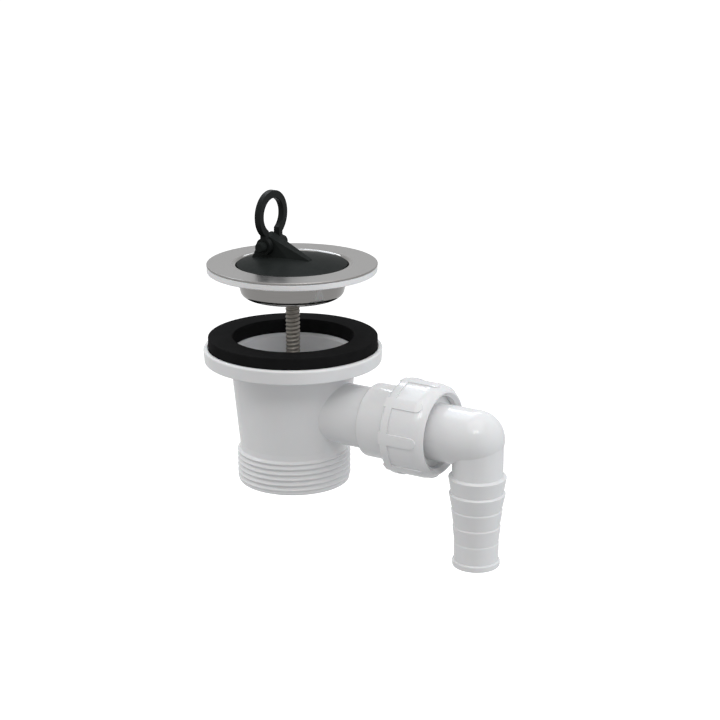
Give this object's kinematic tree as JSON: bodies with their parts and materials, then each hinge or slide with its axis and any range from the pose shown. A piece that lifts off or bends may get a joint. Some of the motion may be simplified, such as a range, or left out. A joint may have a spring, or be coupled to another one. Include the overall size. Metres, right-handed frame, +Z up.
{
  "type": "sink drain",
  "caption": "Sink waste: steel strainer with a rubber stopper and pull ring, clamped white body with a threaded outlet, and a union elbow with a barbed hose tail.",
  "frame": {"origin": "drain axis at the top of the sink gasket, which bears on the underside of the sink", "axes": "+Z up along the drain axis, +X along the side branch"},
  "size_m": [0.1361, 0.074, 0.1423],
  "materials": {
    "stopper_rubber": "semi-matt black",
    "ring_plastic": "semi-matt black",
    "strainer_steel": "satin rim, polished bowl",
    "screw_steel": "nickel plated",
    "washer_plastic": "smooth white",
    "gasket_rubber": "matt black",
    "white_plastic": "moulded, soft gloss",
    "insert_brass": "turned"
  },
  "bodies": {
    "body": {"drain_body": "white_plastic", "screw_insert": "insert_brass", "sink_gasket": "gasket_rubber", "union_nut": "white_plastic", "union_seal": "gasket_rubber"},
    "strainer": {"strainer": "strainer_steel", "rim_washer": "washer_plastic", "clamp_screw": "screw_steel"},
    "stopper": {"stopper": "stopper_rubber"},
    "pull_ring": {"stopper_ring": "ring_plastic"},
    "elbow": {"hose_elbow": "white_plastic"}
  },
  "joints": [
    {"name": "strainer_draw", "type": "slide", "parent": "body", "child": "strainer", "axis": [0, 0, 1], "range_m": [-0.0275, 0]},
    {"name": "stopper_lift", "type": "slide", "parent": "strainer", "child": "stopper", "axis": [0, 0, 1], "range_m": [0, 0.0309]},
    {"name": "ring_swing", "type": "hinge", "parent": "stopper", "child": "pull_ring", "pos_m": [-0.0101, 0, 0.0373], "axis": [0, 1, 0], "range_deg": [-90, 90]},
    {"name": "elbow_swivel", "type": "hinge", "parent": "body", "child": "elbow", "pos_m": [0.0653, 0, -0.0297], "axis": [1, 0, 0], "continuous": true}
  ]
}
